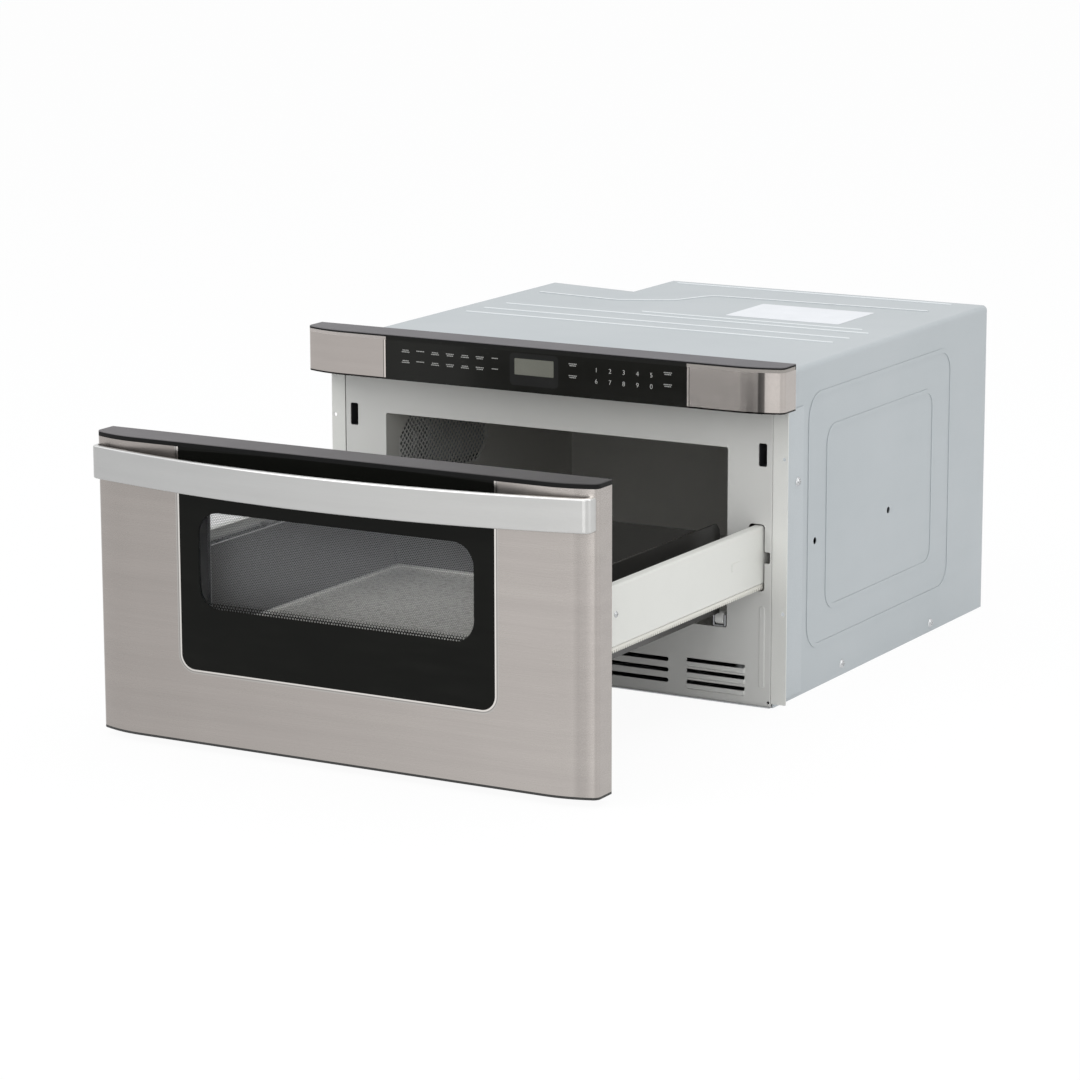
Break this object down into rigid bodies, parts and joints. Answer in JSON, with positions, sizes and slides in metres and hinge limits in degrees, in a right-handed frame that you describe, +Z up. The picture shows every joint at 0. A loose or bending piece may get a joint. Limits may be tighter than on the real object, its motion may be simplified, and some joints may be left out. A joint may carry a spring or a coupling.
{
  "type": "microwave drawer",
  "caption": "Built-in microwave oven whose whole front pulls out as a drawer on telescopic rails, with a bowed handle, tray-lined basket, key panel above and a sheet metal case behind.",
  "frame": {"origin": "underside of the base, in the plane of the front plate's front face, midway between the sides", "axes": "+X to the right seen from the front, +Y from the front into the cabinet, +Z up"},
  "size_m": [0.6064, 1.072, 0.3874],
  "materials": {
    "case_coat": "smooth satin coated sheet",
    "zinc_sheet": "plain zinc plated sheet",
    "plate_paint": "satin warm grey paint",
    "stainless": "brushed along the width",
    "handle_satin": "satin, brushed along the bar",
    "bright_trim": "bright",
    "black_glass": "polished",
    "clear_glass": "polished",
    "display_lens": "smoked lens",
    "black_plastic": "fine grain",
    "cap_grey": "satin",
    "cavity_enamel": "semi gloss enamel",
    "screen_black": "semi gloss, perforated",
    "basket_black": "semi gloss enamel",
    "tray_ceramic": "speckled glaze",
    "cover_mica": "matt sheet",
    "panel_white": "satin off-white paint",
    "rail_steel": "bright zinc plated",
    "gear_plastic": "natural acetal",
    "roller_white": "smooth",
    "latch_plastic": "smooth",
    "motor_metal": "satin plated",
    "guide_aluminium": "mill finish",
    "core_lamination": "varnished lamination",
    "board_green": "solder mask",
    "fan_plastic": "moulded"
  },
  "bodies": {
    "cabinet": {"outer_case": "case_coat", "base_plate": "zinc_sheet", "rear_panel": "zinc_sheet", "front_plate": "plate_paint", "mounting_flanges": "plate_paint", "cavity_liner": "cavity_enamel", "vent_screen": "screen_black", "stirrer_cover": "cover_mica", "waveguide": "guide_aluminium", "magnetron": "motor_metal", "transformer": "core_lamination", "capacitor": "guide_aluminium", "fan_shroud": "fan_plastic", "fan_motor": "motor_metal", "cord_gland": "black_plastic", "cavity_lamp": "zinc_sheet", "stirrer_motor": "motor_metal", "power_board": "board_green", "drive_motor": "motor_metal", "outer_rails": "rail_steel", "rail_brackets": "zinc_sheet", "roller_brackets": "zinc_sheet", "latch_housings": "latch_plastic", "control_bracket": "zinc_sheet", "control_housing": "black_plastic", "control_ends": "stainless", "control_glass": "black_glass", "display_window": "display_lens", "control_board": "board_green", "control_cap": "cap_grey"},
    "drawer": {"door_skin": "stainless", "door_top_cap": "cap_grey", "door_bottom_cap": "black_plastic", "door_glass": "black_glass", "glass_trim": "bright_trim", "window_bezel": "black_plastic", "door_screen": "screen_black", "inner_glass": "clear_glass", "door_frame": "zinc_sheet", "choke_cover": "latch_plastic", "handle_bar": "handle_satin", "handle_ends": "handle_satin", "basket": "basket_black", "ceramic_tray": "tray_ceramic", "side_panel_left": "panel_white", "side_panel_right": "panel_white", "inner_rails": "rail_steel", "drive_rack": "gear_plastic", "latch_hooks": "latch_plastic"},
    "rail_slider_left": {"middle_rail_left": "rail_steel"},
    "rail_slider_right": {"middle_rail_right": "rail_steel"},
    "pinion": {"drive_pinion": "gear_plastic"},
    "left_roller": {"roller_left": "roller_white"},
    "right_roller": {"roller_right": "roller_white"},
    "fan": {"fan_blade": "fan_plastic"},
    "mode_stirrer": {"stirrer": "guide_aluminium"},
    "left_switch_button": {"switch_button_left": "roller_white"},
    "right_switch_button": {"switch_button_right": "roller_white"}
  },
  "joints": [
    {"name": "drawer_slide", "type": "slide", "parent": "cabinet", "child": "drawer", "axis": [0, 1, 0], "range_m": [0, 0.4133]},
    {"name": "left_rail_slide", "type": "slide", "parent": "cabinet", "child": "rail_slider_left", "axis": [0, 1, 0], "range_m": [0, 0.2067]},
    {"name": "right_rail_slide", "type": "slide", "parent": "cabinet", "child": "rail_slider_right", "axis": [0, 1, 0], "range_m": [0, 0.2067]},
    {"name": "pinion_spin", "type": "hinge", "parent": "cabinet", "child": "pinion", "pos_m": [0.2585, 0.02, 0.12223], "axis": [1, 0, 0], "range_deg": [-1980, 5]},
    {"name": "left_roller_spin", "type": "hinge", "parent": "cabinet", "child": "left_roller", "pos_m": [-0.2095, 0.0079, 0.0938], "axis": [1, 0, 0], "range_deg": [-3210, 5]},
    {"name": "right_roller_spin", "type": "hinge", "parent": "cabinet", "child": "right_roller", "pos_m": [0.2095, 0.0079, 0.0938], "axis": [1, 0, 0], "range_deg": [-3210, 5]},
    {"name": "fan_spin", "type": "hinge", "parent": "cabinet", "child": "fan", "pos_m": [0.15, 0.55, 0.205], "axis": [0, 1, 0], "continuous": true},
    {"name": "stirrer_spin", "type": "hinge", "parent": "cabinet", "child": "mode_stirrer", "pos_m": [0, 0.215, 0.28], "axis": [0, 0, 1], "continuous": true},
    {"name": "left_button_slide", "type": "slide", "parent": "cabinet", "child": "left_switch_button", "axis": [0, 1, 0], "range_m": [0, 0.002], "stiffness_N_per_m": 200},
    {"name": "right_button_slide", "type": "slide", "parent": "cabinet", "child": "right_switch_button", "axis": [0, 1, 0], "range_m": [0, 0.002], "stiffness_N_per_m": 200}
  ],
  "couplings": [
    {"joint": "left_rail_slide", "follows": "drawer_slide", "ratio": 0.5},
    {"joint": "right_rail_slide", "follows": "drawer_slide", "ratio": 0.5},
    {"joint": "pinion_spin", "follows": "drawer_slide", "rad_per_m": -83.333},
    {"joint": "left_roller_spin", "follows": "drawer_slide", "rad_per_m": -135.14},
    {"joint": "right_roller_spin", "follows": "drawer_slide", "rad_per_m": -135.14}
  ]
}
